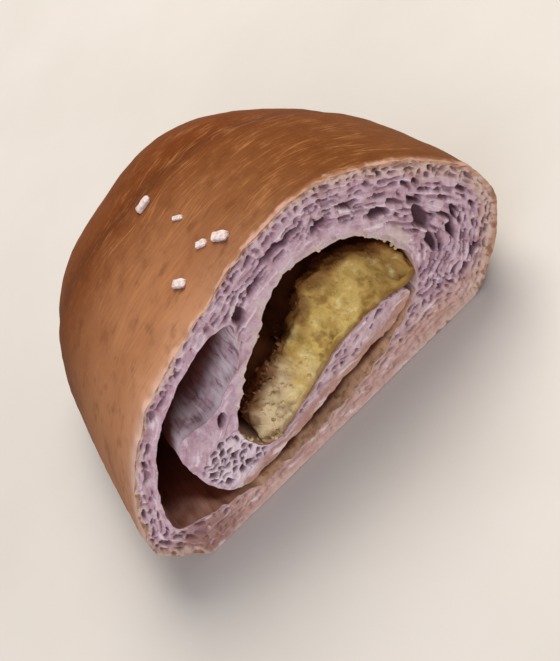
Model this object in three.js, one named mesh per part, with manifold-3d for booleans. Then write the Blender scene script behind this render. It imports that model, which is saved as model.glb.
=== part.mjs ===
// Half of a salt bread roll, as cut across its middle: rolled dough with a hollow spiral, and its filling.
// Millimetres, +Z up. The roll lies along Y: the cut face looks along -Y and the tip points along +Y.
// The origin is in the middle of the flat underside.

import * as THREE from "three";
import { mergeVertices } from "three/addons/utils/BufferGeometryUtils.js";
import Module from "manifold-3d";

// Driving dimensions of the half roll
const HALF_LENGTH = 66;
const CUT_Y = -HALF_LENGTH / 2;
const TIP_HEIGHT = 15;
const TIP_BEND = -6.3;
const WIDTH_TAPER = { bend: 1.54, round: 0.262 };
const TOP_TAPER = { bend: 1, round: 0.306 };
const UNDERSIDE_TAPER = { bend: 4, round: 0.4 };
const CRUST_SIDES = 76;
const CRUST_RINGS = 28;

// The edge of a wrapped layer shows as a shallow slanted step round the crust
const LAYER_STEP = { behind: 41.5, slant: -0.28, depth: 0.7 };
const STEP_WIDTH = 3;
const STEP_FADE = 11;
const LEAST_REACH = 5;

// The hollow between the turns of the rolled dough, and how deep it reaches
const HOLLOW_DEPTH = 44;
const HOLLOW_SIDES = 128;
const HOLLOW_RINGS = 9;
const OVERCUT = 2;

// How many times finer an outline is sampled where a place on it is looked up
const FINE = 6;

// The filling stops short of the cavity's walls and of the cut
const FILLING_GAP = 0.4;
const FILLING_SETBACK = 0.6;

// Its front leans back from a foot at the cut to a crest, and behind that its free surface falls,
// more at its thin end than at its thick one: shares of the height above a slanted floor line
const FILLING_CREST = 4;
const FILLING_FOOT = 0.45;
const FILLING_FALL = 9;
const FILLING_DEEP = { thinEnd: 0.35, thickEnd: 0.7, from: -5, to: 15 };
const FILLING_FLOOR = { middle: 11.5, slope: 0.12 };
const FILLING_LUMP = 0.6;
const FILLING_STATIONS = [
  FILLING_SETBACK, 1.7, 2.8, FILLING_CREST, 6, 8.5, 11, 14, 20, 30, HOLLOW_DEPTH - FILLING_GAP,
];
const FREE_LINE_STEPS = 34;

// Crumbly granules that stand out of the filling's leaning front
const GRANULE_COUNT = 46;
const GRANULE_RADIUS = { least: 0.7, most: 1.3 };
const GRANULE_SPREAD = { from: -13, to: 22 };

// Outlines on the cut face, as [x, z], anticlockwise when seen from the front
const CRUST_OUTLINE = [
  [-33, -1.2], [-12, -1.2], [10, -1.2], [26.5, -0.4], [35.6, 4.6], [41.4, 12], [42.6, 19], [40, 26.6],
  [34.5, 34.3], [27, 41], [18.5, 44.6], [8, 45], [-3, 42.6], [-14, 39.5], [-25.2, 34.1], [-35, 25.5],
  [-41.4, 14.8], [-42.5, 9.2], [-38.8, 3.2],
];
// The hollow winds from under the top, down the left side and along the base, round the tongue's tip
// and into the inner turn, where the filling lies
const HOLLOW_OUTLINE = [
  [-5.2, 36], [-13, 35.8], [-25, 30], [-33, 21.3], [-37, 11.2], [-33, 8.4], [-20, 3.9], [-3, 3.6],
  [9, 5.4], [17, 7.6], [22.8, 12.2], [24.6, 19.5], [20.5, 29.2], [13, 34], [5.5, 34.7], [-4, 28.8],
  [-14.5, 20.3], [-17.2, 14.5], [-14, 8.9], [-4, 11.2], [6, 14.6], [15, 14.8], [20.6, 12.5], [15, 9.6],
  [0, 8.2], [-12, 6.6], [-24.6, 6.9], [-28, 15], [-25.6, 22.4], [-18, 21.8], [-9, 27.4], [-5.6, 32.5],
];
// The filling's crest, and a line inside the tongue of dough that carries it
const FILLING_FREE_LINE = [
  [28, 13], [23.9, 17], [22.4, 20.8], [17.7, 24.9], [12.3, 27], [8.9, 27], [4.5, 24], [-0.3, 21.3],
  [-5, 19.4], [-9.3, 18.1], [-13.5, 16.8], [-20, 14],
];
const FILLING_UNDERSIDE = [[-15.5, 7.7], [-8, 8.3], [6, 12], [19.4, 12.4]];

// Large pores that open on the cut face: centre, half length, half width, tilt in degrees
const PORES = [
  { x: 10.8, z: 39.8, long: 5.3, wide: 0.75, tilt: -2 },
  { x: 2.6, z: 37.5, long: 2, wide: 0.6, tilt: 15 },
  { x: 17.3, z: 36.7, long: 2.3, wide: 0.9, tilt: -10 },
  { x: 22.8, z: 35.6, long: 1.6, wide: 0.6, tilt: -30 },
  { x: 25.6, z: 29.6, long: 2.5, wide: 1.2, tilt: -45 },
  { x: 30.4, z: 21.9, long: 3.4, wide: 1.4, tilt: 85 },
  { x: 28.9, z: 16.3, long: 2.3, wide: 1.1, tilt: 80 },
  { x: 31.4, z: 26.2, long: 1.7, wide: 0.7, tilt: -65 },
  { x: 35.1, z: 18, long: 1.9, wide: 0.6, tilt: 85 },
  { x: 32.8, z: 15.2, long: 1.8, wide: 0.7, tilt: 80 },
  { x: 34, z: 8, long: 1.8, wide: 0.7, tilt: 28 },
  { x: 30, z: 6.6, long: 1.5, wide: 0.7, tilt: 15 },
  { x: -2.8, z: 35, long: 1.8, wide: 1.3, tilt: 50 },
  { x: -17.9, z: 20.2, long: 1.4, wide: 0.8, tilt: 30 },
];
const PORE_DEPTH = 1.8;

// Coarse salt on the crust: place across the roll and behind the cut, size along X, Y and Z
const SALT_GRAINS = [
  { x: -2, behind: 37.4, size: [1.8, 2.7, 1.6] },
  { x: 1.1, behind: 23.5, size: [2.7, 1.3, 1.1] },
  { x: 1.1, behind: 11.6, size: [1.8, 2, 1.6] },
  { x: 4.3, behind: 8.1, size: [3.2, 2.3, 2] },
  { x: -6.1, behind: 10.1, size: [2.7, 2, 1.8] },
];
const SALT_SUNK = 0.25;

const wasm = await Module();
wasm.setup();

// Small seeded random source, so that every build is alike
function seededRandom(seed) {
  let state = seed >>> 0;
  return () => {
    state = (state + 0x6d2b79f5) >>> 0;
    let mixed = Math.imul(state ^ (state >>> 15), state | 1);
    mixed ^= mixed + Math.imul(mixed ^ (mixed >>> 7), mixed | 61);
    return ((mixed ^ (mixed >>> 14)) >>> 0) / 2 ** 32;
  };
}

// Even points on a smooth curve through an outline
function smoothOutline(outline, count, closed = true) {
  const points = outline.map(([x, z]) => new THREE.Vector3(x, 0, z));
  const curve = new THREE.CatmullRomCurve3(points, closed, "catmullrom", 0.5);
  const last = closed ? count : count - 1;
  return Array.from({ length: count }, (_, i) => {
    const point = curve.getPoint(i / last);
    return [point.x, point.z];
  });
}

// Moves a closed anticlockwise outline inwards by a gap
function insetOutline(points, gap) {
  return points.map(([x, z], i) => {
    const before = points[(i + points.length - 1) % points.length];
    const after = points[(i + 1) % points.length];
    const along = new THREE.Vector2(after[0] - before[0], after[1] - before[1]).normalize();
    return [x - along.y * gap, z + along.x * gap];
  });
}

function taper({ bend, round }, share) {
  return Math.max(0, 1 - share ** bend) ** round;
}

// How far the layer step pulls the crust in, at a point given across the roll and behind the cut
function stepDepth(x, behind) {
  const past = behind - (LAYER_STEP.behind + LAYER_STEP.slant * x);
  const rise = THREE.MathUtils.smoothstep(past, -STEP_WIDTH / 2, STEP_WIDTH / 2);
  return LAYER_STEP.depth * rise * Math.exp(-Math.max(0, past) / STEP_FADE);
}

// Carries a point of the cut face back along the roll, which narrows, sinks and bends towards its tip
function carryBack([x, z], behind) {
  const share = THREE.MathUtils.clamp(behind / HALF_LENGTH, 0, 1);
  const rise = taper(z < TIP_HEIGHT ? UNDERSIDE_TAPER : TOP_TAPER, share);
  return new THREE.Vector3(
    TIP_BEND * share ** 2 + x * taper(WIDTH_TAPER, share),
    CUT_Y + behind,
    TIP_HEIGHT + (z - TIP_HEIGHT) * rise,
  );
}

// A point of the crust, with the layer step pulled in and the underside flattened
function crustPoint(outlinePoint, behind) {
  const point = carryBack(outlinePoint, behind);
  const middle = new THREE.Vector3(TIP_BEND * (behind / HALF_LENGTH) ** 2, point.y, TIP_HEIGHT);
  const reach = Math.max(LEAST_REACH, point.distanceTo(middle));
  point.lerpVectors(middle, point, 1 - stepDepth(point.x, behind) / reach);
  point.z = Math.max(0, point.z);
  return point;
}

// Closed skin through rings of equal count, ordered from front to back, with flat ends or a tip point
function loft(rings, tip = null) {
  const count = rings[0].length;
  const points = rings.flat();
  const index = [];
  for (let r = 0; r + 1 < rings.length; r += 1) {
    for (let i = 0; i < count; i += 1) {
      const front = r * count + i;
      const frontNext = r * count + ((i + 1) % count);
      index.push(front, frontNext + count, frontNext, front, front + count, frontNext + count);
    }
  }
  index.push(...flatEnd(rings[0], 0, false));
  const lastStart = (rings.length - 1) * count;
  if (tip) {
    for (let i = 0; i < count; i += 1) {
      index.push(lastStart + i, points.length, lastStart + ((i + 1) % count));
    }
    points.push(tip);
  } else {
    index.push(...flatEnd(rings.at(-1), lastStart, true));
  }
  const geometry = new THREE.BufferGeometry().setFromPoints(points);
  geometry.setIndex(index);
  return geometry;
}

function flatEnd(ring, start, facesBack) {
  const flat = ring.map((point) => new THREE.Vector2(point.x, point.z));
  return THREE.ShapeUtils.triangulateShape(flat, []).flatMap(([a, b, c]) => {
    const anticlockwise = THREE.ShapeUtils.area([flat[a], flat[b], flat[c]]) > 0;
    const face = anticlockwise === facesBack ? [a, c, b] : [a, b, c];
    return face.map((corner) => start + corner);
  });
}

function toSolid(geometry) {
  geometry.deleteAttribute("normal");
  geometry.deleteAttribute("uv");
  const merged = mergeVertices(geometry);
  return new wasm.Manifold(new wasm.Mesh({
    numProp: 3,
    vertProperties: Float32Array.from(merged.attributes.position.array),
    triVerts: Uint32Array.from(merged.index.array),
  }));
}

function toMesh(name, solid, look) {
  const { vertProperties, triVerts } = solid.getMesh();
  const geometry = new THREE.BufferGeometry();
  geometry.setAttribute("position", new THREE.BufferAttribute(vertProperties, 3));
  geometry.setIndex(new THREE.BufferAttribute(triVerts, 1));
  geometry.computeVertexNormals();
  const mesh = new THREE.Mesh(geometry, new THREE.MeshStandardMaterial(look));
  mesh.name = name;
  return mesh;
}

// A tunnel that follows an outline from in front of the cut to a given depth
function tunnel(points, front, depth) {
  const rings = Array.from({ length: HOLLOW_RINGS }, (_, r) => {
    const behind = front + ((depth - front) * r) / (HOLLOW_RINGS - 1);
    return points.map((point) => carryBack(point, behind));
  });
  return toSolid(loft(rings));
}

function crust() {
  const outline = smoothOutline(CRUST_OUTLINE, CRUST_SIDES);
  const rings = Array.from({ length: CRUST_RINGS }, (_, r) => {
    const behind = HALF_LENGTH * Math.sin(((Math.PI / 2) * r) / CRUST_RINGS);
    return outline.map((point) => crustPoint(point, behind));
  });
  return toSolid(loft(rings, new THREE.Vector3(TIP_BEND, CUT_Y + HALF_LENGTH, TIP_HEIGHT)));
}

function pore({ x, z, long, wide, tilt }) {
  const geometry = new THREE.IcosahedronGeometry(1, 1);
  geometry.scale(long, PORE_DEPTH, wide);
  geometry.rotateY(THREE.MathUtils.degToRad(-tilt));
  geometry.translate(x, CUT_Y, z);
  return toSolid(geometry);
}

// The highest point of the crust at a place across the roll and behind the cut
function topOfCrust(x, behind) {
  return smoothOutline(CRUST_OUTLINE, CRUST_SIDES * FINE)
    .filter(([, z]) => z > TIP_HEIGHT)
    .map((point) => crustPoint(point, behind))
    .reduce((best, point) => (Math.abs(point.x - x) < Math.abs(best.x - x) ? point : best));
}

function saltGrain({ x, behind, size }, random) {
  const geometry = new THREE.DodecahedronGeometry(0.5);
  geometry.rotateX(random() * Math.PI);
  geometry.scale(...size);
  geometry.rotateZ(random() * Math.PI);
  const seat = topOfCrust(x, behind);
  geometry.translate(seat.x, seat.y, seat.z + size[2] * SALT_SUNK);
  return toSolid(geometry);
}

// The rolled dough with its crust: hollow spiral, large pores on the cut and salt baked on
function dough() {
  const random = seededRandom(7);
  const hollow = tunnel(smoothOutline(HOLLOW_OUTLINE, HOLLOW_SIDES), -OVERCUT, HOLLOW_DEPTH);
  let solid = crust().subtract(hollow);
  PORES.forEach((size) => {
    solid = solid.subtract(pore(size));
  });
  SALT_GRAINS.forEach((grain) => {
    solid = solid.add(saltGrain(grain, random));
  });
  return toMesh("dough", solid, { color: "#a5683a", roughness: 0.5, metalness: 0 });
}

// The share of its full height that the filling has at a place across the roll and behind the cut
function fillingShare(x, behind) {
  if (behind < FILLING_CREST) {
    return THREE.MathUtils.lerp(FILLING_FOOT, 1, behind / FILLING_CREST);
  }
  const { thinEnd, thickEnd, from, to } = FILLING_DEEP;
  const deep = THREE.MathUtils.lerp(thinEnd, thickEnd, THREE.MathUtils.smoothstep(x, from, to));
  const fallen = THREE.MathUtils.smoothstep(behind, FILLING_CREST, FILLING_CREST + FILLING_FALL);
  return THREE.MathUtils.lerp(1, deep, fallen);
}

// A point of the filling's free surface below a point of its crest line
function freePoint([x, z], behind) {
  const floor = FILLING_FLOOR.middle + FILLING_FLOOR.slope * x;
  return [x, floor + (z - floor) * fillingShare(x, behind)];
}

// The body of the filling below its uneven free surface
function pouredFilling(random) {
  const freeLine = smoothOutline(FILLING_FREE_LINE, FREE_LINE_STEPS, false);
  const rings = FILLING_STATIONS.map((behind) => {
    const surface = freeLine.map((crest) => {
      const lump = FILLING_LUMP * (2 * random() - 1);
      const [x, z] = freePoint(crest, behind);
      return carryBack([x + lump / 2, z + lump], behind);
    });
    const underside = FILLING_UNDERSIDE.map((point) => carryBack(point, behind));
    return [...surface, ...underside];
  });
  return toSolid(loft(rings));
}

// A crumbly granule that stands half out of the filling's front, at a share of the way up to its crest
function granule(x, share, random) {
  const radius = THREE.MathUtils.lerp(GRANULE_RADIUS.least, GRANULE_RADIUS.most, random());
  const geometry = new THREE.IcosahedronGeometry(radius, 0);
  geometry.rotateX(random() * Math.PI);
  geometry.rotateZ(random() * Math.PI);
  const crest = smoothOutline(FILLING_FREE_LINE, FREE_LINE_STEPS * FINE, false)
    .reduce((best, point) => (Math.abs(point[0] - x) < Math.abs(best[0] - x) ? point : best));
  const behind = FILLING_CREST * share;
  const seat = carryBack(freePoint(crest, behind), behind);
  geometry.translate(seat.x, seat.y, seat.z);
  return toSolid(geometry);
}

function filling() {
  const random = seededRandom(19);
  let solid = pouredFilling(random);
  for (let i = 0; i < GRANULE_COUNT; i += 1) {
    const x = THREE.MathUtils.lerp(GRANULE_SPREAD.from, GRANULE_SPREAD.to, (i + random()) / GRANULE_COUNT);
    solid = solid.add(granule(x, random(), random));
  }
  const fitted = insetOutline(smoothOutline(HOLLOW_OUTLINE, HOLLOW_SIDES), FILLING_GAP);
  solid = solid.intersect(tunnel(fitted, 0, HOLLOW_DEPTH - FILLING_GAP));
  return toMesh("filling", solid, { color: "#b08b3e", roughness: 0.75, metalness: 0 });
}

const saltBread = new THREE.Group();
saltBread.add(dough(), filling());

export default saltBread;
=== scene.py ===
# Half of a salt bread roll, as cut across its middle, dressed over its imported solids.
# Shapes are worked out in millimetres in the part's own frame, and become metres when a mesh is made.
import math
from types import SimpleNamespace

import bpy
import numpy as np
from mathutils import Matrix, Vector
from mathutils.geometry import delaunay_2d_cdt
from mathutils.kdtree import KDTree


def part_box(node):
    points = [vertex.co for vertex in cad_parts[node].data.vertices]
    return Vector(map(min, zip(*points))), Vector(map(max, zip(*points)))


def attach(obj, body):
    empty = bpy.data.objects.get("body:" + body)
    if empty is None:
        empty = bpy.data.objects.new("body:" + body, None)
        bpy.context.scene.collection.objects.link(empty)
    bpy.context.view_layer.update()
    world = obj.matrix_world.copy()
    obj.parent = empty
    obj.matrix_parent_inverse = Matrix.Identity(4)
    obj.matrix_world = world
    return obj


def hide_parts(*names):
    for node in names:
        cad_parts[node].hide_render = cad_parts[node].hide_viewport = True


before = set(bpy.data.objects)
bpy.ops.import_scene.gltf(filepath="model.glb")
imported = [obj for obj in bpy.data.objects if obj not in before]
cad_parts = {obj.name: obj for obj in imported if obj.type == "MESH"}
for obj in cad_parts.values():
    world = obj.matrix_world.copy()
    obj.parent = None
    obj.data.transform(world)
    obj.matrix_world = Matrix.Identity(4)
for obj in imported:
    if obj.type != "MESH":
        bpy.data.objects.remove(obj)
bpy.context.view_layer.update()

# Sizes of the half roll in millimetres: the cut's place and the length come from the frame
MM = 0.001
DOUGH_LOW, DOUGH_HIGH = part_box("dough")
CUT_Y = DOUGH_LOW.y / MM
HALF_LENGTH = (DOUGH_HIGH.y - DOUGH_LOW.y) / MM
TIP_HEIGHT = 15.0
TIP_BEND = -6.3
WIDTH_TAPER = (1.54, 0.262)
TOP_TAPER = (1.0, 0.306)
UNDERSIDE_TAPER = (4.0, 0.4)

# Edge of a wrapped layer on the crust: place behind the cut, slant across the roll and depth of its step,
# then the step's width, its fade behind, the width of the painted shadow along it, and the least reach that
# it is scaled by
LAYER_STEP = (41.5, -0.28, 0.7)
STEP_WIDTH = 5.0
STEP_FADE = 11.0
STEP_SHADOW_WIDTH = 3.2
LEAST_REACH = 5.0

# Outlines on the cut, as (x, z), anticlockwise when seen from the front
CRUST_OUTLINE = (
    (-33, -1.2), (-12, -1.2), (10, -1.2), (26.5, -0.4), (35.6, 4.6), (41.4, 12), (42.6, 19), (40, 26.6),
    (34.5, 34.3), (27, 41), (18.5, 44.6), (8, 45), (-3, 42.6), (-14, 39.5), (-25.2, 34.1), (-35, 25.5),
    (-41.4, 14.8), (-42.5, 9.2), (-38.8, 3.2),
)
HOLLOW_OUTLINE = (
    (-5.2, 36), (-13, 35.8), (-25, 30), (-33, 21.3), (-37, 11.2), (-33, 8.4), (-20, 3.9), (-3, 3.6),
    (9, 5.7), (17, 8.7), (22.3, 12.6), (24.6, 19.5), (20.5, 29.2), (13, 34), (5.5, 34.7), (-4, 28.8),
    (-14.5, 20.3), (-17.2, 14.5), (-14, 8.9), (-4, 11.2), (6, 14.6), (15, 14.8), (20.6, 12.5), (15, 9.6),
    (0, 8.2), (-12, 6.6), (-24.6, 6.9), (-28, 15), (-25.6, 22.4), (-18, 21.8), (-9, 27.4), (-5.6, 32.5),
)
FILLING_OUTLINE = (
    (-15.2, 12.2), (-15.2, 9.9), (-13.2, 8.9), (-8.5, 9.9), (-4, 11.4), (1, 13.2), (6, 14.8), (15, 15),
    (20.6, 13.6), (22.8, 14.2), (24.2, 16), (23.9, 18), (22.4, 21), (17.7, 24.9), (12.3, 27),
    (8.9, 27), (4.5, 24), (-0.3, 21), (-5, 18.6), (-9.3, 16.6), (-12.6, 14.8),
)
# Parts of the hollow's outline, each from a first place to a last, and the part that the filling rests on
BASE_LIP = ((-33, 8.4), (17, 8.7))
ARCH = ((24.6, 19.5), (-14.5, 20.3))
CAVITY = ((22.3, 12.6), (15, 14.8))
CAVITY_END = ((-17.2, 14.5), (-4, 11.2))
TONGUE_UNDERSIDE = ((20.6, 12.5), (-24.6, 6.9))
CURTAIN_EDGE = ((-27.2, 11), (-12, 25))
FILLING_SEAT = ((-15.2, 9.9), (22.8, 14.2))
HOLLOW_DEPTH = 44.0

# How far the knife tore the hollow's lip, and the stretches that it tore most
TORN = 0.26
TEAR_SIZE = 1.8
TORN_MOST = {BASE_LIP: 0.6, ARCH: 0.42, TONGUE_UNDERSIDE: 0.38}

# The filling leans back from a foot at the cut to a crest, and falls behind it, more at its thin end
FILLING_SETBACK = 0.3
FILLING_CREST = 4.0
FILLING_FOOT = 0.06
FILLING_SWELL = 1.7
FILLING_FALL = 9.0
FILLING_DEEP = (0.35, 0.7)
FILLING_DEEP_SPAN = (-5.0, 15.0)

# The filling's surface gets free of the dough between two heights above its seat; its front is a little sunk
FREE_RISE = (0.8, 3.0)
FRONT_SUNK = 0.2
FRONT_LUMPS = 0.6
# Its creamy end at the left: bounds across, how far its lumps are drawn out, and the granules that it lacks
CREAM_SPAN = (-3.0, 10.0)
CREAM_STRETCH = 0.6
CREAM_LACK = 0.7
# Its granules: share on the front, least share and where it grows, where they end, and clear of the seat
FRONT_GRANULES = 0.8
LEAST_GRANULES = 0.3
GRANULE_RISE = (1.5, 3.5)
GRANULE_END = (13.0, 4.0)
SEAT_CLEARANCE = (0.5, 1.2)
# Its shade: at the foot, up to a height, and in two steps behind the cut, each a share between two places
FOOT_SHADE = 0.45
FOOT_HEIGHT = (1.5, 1.2)
DEPTH_SHADES = ((0.7, 1.2, 4.3), (0.3, 4.4, 9.0))

# The edge of the stretched skin at the left is rounded, not sharp: depth, width, and places that soften it
SHOULDER = (2.0, 3.4)
SHOULDER_SOFTNESS = 5

# Behind the hollow's lip: where the walls' folds are full, its tears are gone and the painted light on its
# rounded edge has faded
FOLDS_FULL = 3.0
TEARS_GONE = 2.5
SHOULDER_LIGHT_GONE = 2.8

# Relief too fine for the solids, each kind as a height and a size in millimetres
CRUST_SWELLS = (0.3, 15.0)
CRUST_DIMPLES = (0.07, 2.4)
CRUST_STREAKS = (0.06, (14.0, 1.5, 1.0))
CRUST_EDGE_WAVES = (0.3, 5.0)
CRUST_EDGE_NICKS = (0.2, 1.9)
WALL_FOLDS = (0.32, (2.6, 16.0, 1.0))
WALL_BUBBLES = (0.22, 1.7)
CUT_WAVES = (0.3, 6.0)
CUT_GRAIN = (0.16, 1.1)
FILLING_LUMPS = (0.7, 2.6)
# Soft wandering of places and bounds, each as a distance and a size
FILLING_WANDER = (1.1, 3.5)
BEHIND_WANDER = (0.8, 2.0)
ABOVE_WANDER = (0.5, 1.2)
CREAM_WANDER = (4.0, 4.0)
ROW_WANDER = (0.8, 4.5)
CELL_WANDER = (0.5, 1.3)
PORE_WANDER = (0.4, 1.6)
# The crust's uneven edge grows between two heights and is gone some way behind the cut
EDGE_RISE = (0.5, 4.0)
EDGE_REACH = 4.0
# The crust's relief is full this far behind the cut and this far above the underside
RELIEF_BEHIND = 1.5
RELIEF_ABOVE = 3.0
# The crumb lies a little behind the edges of the cut, and its pits keep clear of them
CUT_SUNK = 0.35
CUT_EDGE = 0.8
PIT_EDGE = 0.5

# How finely the outlines and skins are drawn: steps between points, spacings in millimetres, rows
CURVE_STEPS = 24
CRUST_SPACING = 0.45
CRUST_ROWS = 60
CRUST_GROWTH = 1.5
HOLLOW_SPACING = 0.55
HOLLOW_STATIONS = 26
STATION_GROWTH = 1.9
CUT_SPACING = 0.22
FILLING_SPACING = 0.3
HOLLOW_END_SPACING = 4.0
FILLING_END_SPACING = 3.0
SALT_SEAT_SPACING = 0.2
SALT_SEAT_STEP = 0.5
# Places of the filling's rings behind the cut: close to each other at the front, and a few at the back
FRONT_END = 9.4
FRONT_STEP = 0.25
BACK_START = 10.0
BACK_GAP = 0.5
BACK_COUNT = 14
FRONT_STATIONS = np.arange(FILLING_SETBACK, FRONT_END, FRONT_STEP)
BACK_STATIONS = np.linspace(BACK_START, HOLLOW_DEPTH - BACK_GAP, BACK_COUNT)
FILLING_STATIONS = np.append(FRONT_STATIONS, BACK_STATIONS)

# Filling a face with points: rows of even triangles, moved a little, and clear of the edges
ROW_SHARE = 0.87
POINT_JITTER = 0.22
EDGE_CLEARANCE = 0.6
# A measure too small to tell from none
TINY = 1e-6

# Large pores on the cut: x, z, half length, half width, tilt in degrees
LARGE_PORES = (
    (10.8, 39.8, 5.3, 0.75, -2), (2.6, 37.5, 2.0, 0.6, 15), (17.3, 36.7, 2.3, 0.9, -10),
    (22.8, 35.6, 1.6, 0.6, -30), (25.6, 29.6, 2.5, 1.2, -45), (30.4, 21.9, 3.4, 1.4, 85),
    (28.9, 16.3, 2.3, 1.1, 80), (31.4, 26.2, 1.7, 0.7, -65), (35.1, 18.0, 1.9, 0.6, 85),
    (32.8, 15.2, 1.8, 0.7, 80), (34.0, 8.0, 1.8, 0.7, 28), (30.0, 6.6, 1.5, 0.7, 15),
    (-2.8, 35.0, 1.8, 1.3, 50), (-17.9, 20.2, 1.4, 0.8, 30),
)
LARGE_PORE_DEPTH = 2.6
# How round the hollow of a large pore or a long bubble is
PORE_ROUNDNESS = 0.75

# The crumb: rows of long bubbles along the crust, small cells, and round ones where the dough turns
ROW_GAP = 1.05
ROW_COUNT = 11
FIRST_ROW = 1.2
PAIR_WALL = 0.45
BUBBLE_LENGTH = (0.7, 3.2)
BUBBLE_WALL = (0.2, 0.7)
CELL_DEPTH = 1.5
LOOP_STEP = 0.1
# Long bubbles: shares of the rows' gap and of the cells' depth, how far they stray, and tilt in degrees
BUBBLE_WIDTH = (0.6, 1.05)
BUBBLE_DEPTH = (0.3, 1.3)
BUBBLE_STRAY = 0.12
BUBBLE_TILT = 5
# Kinds of cells: size each way, share of the cells' depth, and the share of them that is closed
FINE_CELLS = ((1.3, 0.75), 0.5, 0.45)
CORE_CELLS = ((1.85, 1.3), 1.6, 0.0)
TONGUE_CELLS = ((1.7, 1.05), 1.2, 0.45)
# Cells one unit across: how far each strays, the share that is partly open, and the slope of their walls
CELL_JITTER = 0.38
CELL_OPENING = 0.5
CELL_WALL = (0.04, 0.65)
# Cells are shallow by the base: their least share of the depth, and the heights over which it grows
BASE_CELLS = 0.3
BASE_RISE = (2.0, 6.5)
# The inner roll, its open core as a centre, half sizes and an edge, and the tongue with its fade
INNER_ROLL = {"x": (-29.0, -13.0), "z": (5.8, 23.0)}
INNER_CORE = ((-20.8, 12.0), (6.0, 5.0))
CORE_EDGE = (1.2, 0.35)
TONGUE = {"x": (-13.0, 21.5), "z": (5.8, 15.6)}
TONGUE_FADE = (-13.0, -3.0)

# Closed skin along the hollow's lip: thickness on the arch, under the tongue and elsewhere, and its fade
ARCH_SKIN = 2.3
TONGUE_SKIN = 1.2
PLAIN_SKIN = 0.45
SKIN_FADE = 0.8
# The crumb stays closed along the crust, and opens between two distances from it
RIM_SKIN = (0.6, 1.2)
# Where the skin of the arch is thickest: its place on the cut, how far it reaches, and its fade
SKIN_BULGE = ((25.5, 23.0), 3.2)
BULGE_FADE = 2.0

# Looks of the cut: sizes of ragged edges and of patches, and the reach of the right side and of the base
RAGGED_SIZE = 1.3
PATCHY_SIZE = 2.6
CUT_RIGHT = (8.0, 36.0)
CUT_BASE = (0.5, 3.0)
# The crust's cut rim is thinner by the base, ragged, and wider at the right
RIM_BASE = 0.8
RIM_RAGS = 0.6
RIM_RIGHT = 1.4
# The skin along the lip as it shows: width and fade, thinner at the base, and ragged
SHOWN_SKIN = (1.3, 1.2)
SHOWN_SKIN_BASE = 0.5
SHOWN_SKIN_RAGS = 0.7
# Toasted crumb at the right and brown dough under the tongue: width and fade; the first is patchy
TOASTED = (3.2, 1.6)
TOASTED_PATCHES = 2.0
BROWNED = (2.6, 2.2)
# Butter at the base and shade in the left corner, on the cut and inside: bounds, or a height and its fade
CUT_SOAKED = (9.0, 6.0)
WALL_SOAKED = (14.0, 6.0)
WALL_SOAKED_CORNER = 0.3
CUT_CORNER = ((22.0, 34.0), (13.0, 9.0))
WALL_CORNER = ((20.0, 30.0), (15.0, 7.0))

# Salt grains on the crust: place across the roll and behind the cut, length, width, height, turn in degrees
SALT_GRAINS = (
    (-2.0, 37.4, (4.0, 2.2, 1.2), -8), (1.1, 23.5, (3.6, 1.0, 0.8), -58), (1.1, 11.6, (3.0, 1.6, 1.0), -46),
    (4.3, 8.1, (4.9, 2.1, 1.1), -58), (-6.1, 10.1, (4.0, 1.9, 1.1), -58),
)
SALT_SUNK = 0.25

# Crumbs along the arch over the filling and at its thin end: how many, and the largest's radius
FRINGE_CRUMBS = (110, 0.4)
END_CRUMBS = (30, 0.55)
LEAST_CRUMB = 0.15
CRUMB_SPREAD = 0.14
CRUMB_REACH = 1.2
CRUMB_BEHIND = 0.3
CRUMB_LEAST_BEHIND = 0.1
CRUMB_TONES = (0.5, 1.0)
CRUMB_SHADE = 0.3

# Light reaches about as far into the hollow as its gap is wide, within these bounds; less is the wall itself
LIT_GAP = (2.5, 14.0)
LEAST_GAP = 0.3
GAP_SOFTNESS = 4
# How much less far it reaches in the left corner, on the cavity's stained walls and in the slit at the base
CORNER_DIM = 0.5
STAINED_DIM = 0.45
SLIT_DIM = 0.25
SLIT_SPAN = (-24.0, -16.0)
# Painted shade grows between two shares of that reach, later where butter shines; more painted shade on a
# roof, which lies up and to the left
SHADE_SPAN = (0.35, 1.3)
SHADE_SOAKED = 0.15
ROOF_FACING = (-0.6, 0.8)
ROOF_SPAN = (-0.3, 0.6)

# The camera, as the photograph was taken, drawn in on the object
AIM = (-0.7, -14.0, 9.4)
VIEW_DISTANCE = 331.4
VIEW_AZIMUTH = 2.89
VIEW_ELEVATION = 42.4
VIEW_ROLL = 46.5
LENS = 100.0

# Soft lights: place and size in metres, power in watts, colour; and the surround's colour and strength
WINDOW = ((0.35, 0.3, 0.7), 0.6, 9.0, "#fff6ec")
FRONT_FILL = ((-0.45, -0.7, 0.45), 0.8, 4.6, "#f6f2ff")
SURROUND = ("#e8e6e4", 0.35)
FLOOR_SIZE = 3.0
FLOOR_DROP = 0.0001

# Material slots of the dough
CRUST, CRUMB, HOLLOW = range(3)


def lattice(cells, seed):
    """A repeatable random value from -1 to 1 for each whole-numbered cell."""
    mixed = np.full(cells.shape[:-1], seed * 2654435761 % 2**32, dtype=np.uint32)
    for axis, factor in enumerate((0x8DA6B343, 0xD8163841, 0xCB1AB31F)):
        mixed = (mixed ^ (cells[..., axis].astype(np.uint32) * np.uint32(factor))) * np.uint32(0x27D4EB2F)
        mixed ^= mixed >> np.uint32(15)
    return mixed / 2.0**31 - 1.0


def soft_noise(points, size, seed):
    """Soft random values from about -1 to 1 that change over a given size, or a size for each axis."""
    scaled = points / size
    base = np.floor(scaled).astype(np.int64)
    share = scaled - base
    share = share * share * (3 - 2 * share)
    total = np.zeros(len(points))
    for corner in np.ndindex(2, 2, 2):
        weight = np.prod(np.where(corner, share, 1 - share), axis=-1)
        total += weight * lattice(base + np.array(corner), seed)
    return total


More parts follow.
